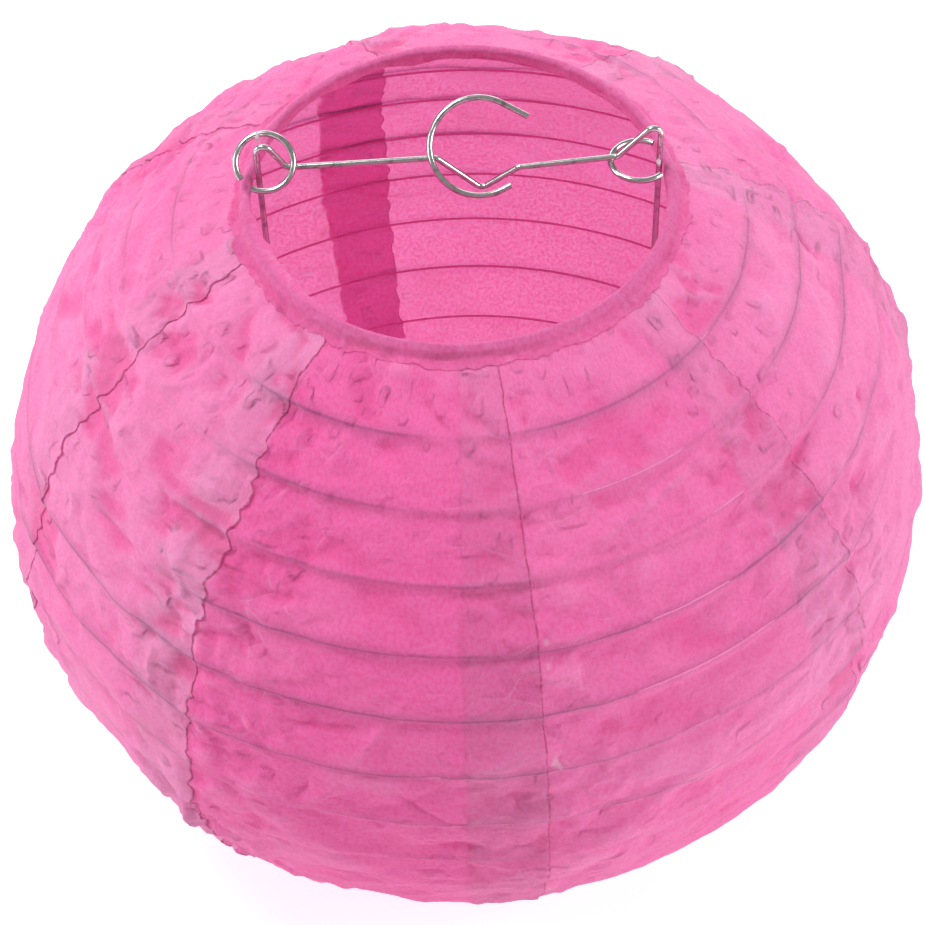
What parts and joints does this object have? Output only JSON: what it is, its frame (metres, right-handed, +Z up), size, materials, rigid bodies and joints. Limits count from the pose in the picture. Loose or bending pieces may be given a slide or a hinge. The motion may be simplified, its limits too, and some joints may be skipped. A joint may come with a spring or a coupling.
{
  "type": "paper lantern",
  "caption": "Round folding paper lantern: lapped paper panels on evenly spaced wire hoops, held open by a lift-out bent-wire expander.",
  "frame": {"origin": "on the surface that the lantern stands on, under the centre of the shade", "axes": "+Z up through the shade; -Y is the front; +X to the right, along the expander's crossbar"},
  "size_m": [0.2986, 0.2986, 0.2727],
  "materials": {
    "paper": "crinkled matte tissue paper",
    "hem_paper": "folded matte tissue paper",
    "ring_wire": "plain drawn wire",
    "rib_wire": "thin drawn wire",
    "expander_wire": "bright plated wire"
  },
  "bodies": {
    "shade_base": {"bottom_ring": "ring_wire", "bottom_hem": "hem_paper", "gore_1": "paper", "gore_2": "paper", "gore_3": "paper", "gore_4": "paper", "gore_5": "paper", "gore_6": "paper", "gore_7": "paper", "gore_8": "paper"},
    "shade_top": {"top_ring": "ring_wire", "top_hem": "hem_paper"},
    "expander": {"frame_wire": "expander_wire", "socket_ring": "expander_wire", "left_rim_clip": "expander_wire", "right_rim_clip": "expander_wire", "left_foot_clip": "expander_wire", "right_foot_clip": "expander_wire"},
    "hoop_01": {"rib_01": "rib_wire"},
    "hoop_02": {"rib_02": "rib_wire"},
    "hoop_03": {"rib_03": "rib_wire"},
    "hoop_04": {"rib_04": "rib_wire"},
    "hoop_05": {"rib_05": "rib_wire"},
    "hoop_06": {"rib_06": "rib_wire"},
    "hoop_07": {"rib_07": "rib_wire"},
    "hoop_08": {"rib_08": "rib_wire"},
    "hoop_09": {"rib_09": "rib_wire"},
    "hoop_10": {"rib_10": "rib_wire"},
    "hoop_11": {"rib_11": "rib_wire"},
    "hoop_12": {"rib_12": "rib_wire"},
    "hoop_13": {"rib_13": "rib_wire"},
    "hoop_14": {"rib_14": "rib_wire"},
    "hoop_15": {"rib_15": "rib_wire"}
  },
  "joints": [
    {"name": "collapse", "type": "slide", "parent": "shade_base", "child": "shade_top", "axis": [0, 0, -1], "range_m": [0, 0.23124], "deforming": ["gore_1", "gore_2", "gore_3", "gore_4", "gore_5", "gore_6", "gore_7", "gore_8"]},
    {"name": "expander_lift", "type": "slide", "parent": "shade_base", "child": "expander", "axis": [0, 0, 1], "range_m": [0, 0.27]},
    {"name": "rib_01_drop", "type": "slide", "parent": "shade_base", "child": "hoop_01", "axis": [0, 0, -1], "range_m": [0, 0.2193]},
    {"name": "rib_02_drop", "type": "slide", "parent": "shade_base", "child": "hoop_02", "axis": [0, 0, -1], "range_m": [0, 0.20788]},
    {"name": "rib_03_drop", "type": "slide", "parent": "shade_base", "child": "hoop_03", "axis": [0, 0, -1], "range_m": [0, 0.1944]},
    {"name": "rib_04_drop", "type": "slide", "parent": "shade_base", "child": "hoop_04", "axis": [0, 0, -1], "range_m": [0, 0.17911]},
    {"name": "rib_05_drop", "type": "slide", "parent": "shade_base", "child": "hoop_05", "axis": [0, 0, -1], "range_m": [0, 0.16225]},
    {"name": "rib_06_drop", "type": "slide", "parent": "shade_base", "child": "hoop_06", "axis": [0, 0, -1], "range_m": [0, 0.14421]},
    {"name": "rib_07_drop", "type": "slide", "parent": "shade_base", "child": "hoop_07", "axis": [0, 0, -1], "range_m": [0, 0.12542]},
    {"name": "rib_08_drop", "type": "slide", "parent": "shade_base", "child": "hoop_08", "axis": [0, 0, -1], "range_m": [0, 0.10641]},
    {"name": "rib_09_drop", "type": "slide", "parent": "shade_base", "child": "hoop_09", "axis": [0, 0, -1], "range_m": [0, 0.08766]},
    {"name": "rib_10_drop", "type": "slide", "parent": "shade_base", "child": "hoop_10", "axis": [0, 0, -1], "range_m": [0, 0.06964]},
    {"name": "rib_11_drop", "type": "slide", "parent": "shade_base", "child": "hoop_11", "axis": [0, 0, -1], "range_m": [0, 0.05281]},
    {"name": "rib_12_drop", "type": "slide", "parent": "shade_base", "child": "hoop_12", "axis": [0, 0, -1], "range_m": [0, 0.03755]},
    {"name": "rib_13_drop", "type": "slide", "parent": "shade_base", "child": "hoop_13", "axis": [0, 0, -1], "range_m": [0, 0.02413]},
    {"name": "rib_14_drop", "type": "slide", "parent": "shade_base", "child": "hoop_14", "axis": [0, 0, -1], "range_m": [0, 0.01276]},
    {"name": "rib_15_drop", "type": "slide", "parent": "shade_base", "child": "hoop_15", "axis": [0, 0, -1], "range_m": [0, 0.00361]}
  ],
  "couplings": [
    {"joint": "rib_01_drop", "follows": "collapse", "ratio": 0.94826},
    {"joint": "rib_02_drop", "follows": "collapse", "ratio": 0.89891},
    {"joint": "rib_03_drop", "follows": "collapse", "ratio": 0.84062},
    {"joint": "rib_04_drop", "follows": "collapse", "ratio": 0.77446},
    {"joint": "rib_05_drop", "follows": "collapse", "ratio": 0.70157},
    {"joint": "rib_06_drop", "follows": "collapse", "ratio": 0.62354},
    {"joint": "rib_07_drop", "follows": "collapse", "ratio": 0.54231},
    {"joint": "rib_08_drop", "follows": "collapse", "ratio": 0.46009},
    {"joint": "rib_09_drop", "follows": "collapse", "ratio": 0.379},
    {"joint": "rib_10_drop", "follows": "collapse", "ratio": 0.30106},
    {"joint": "rib_11_drop", "follows": "collapse", "ratio": 0.22829},
    {"joint": "rib_12_drop", "follows": "collapse", "ratio": 0.1623},
    {"joint": "rib_13_drop", "follows": "collapse", "ratio": 0.10427},
    {"joint": "rib_14_drop", "follows": "collapse", "ratio": 0.05508},
    {"joint": "rib_15_drop", "follows": "collapse", "ratio": 0.01551}
  ]
}
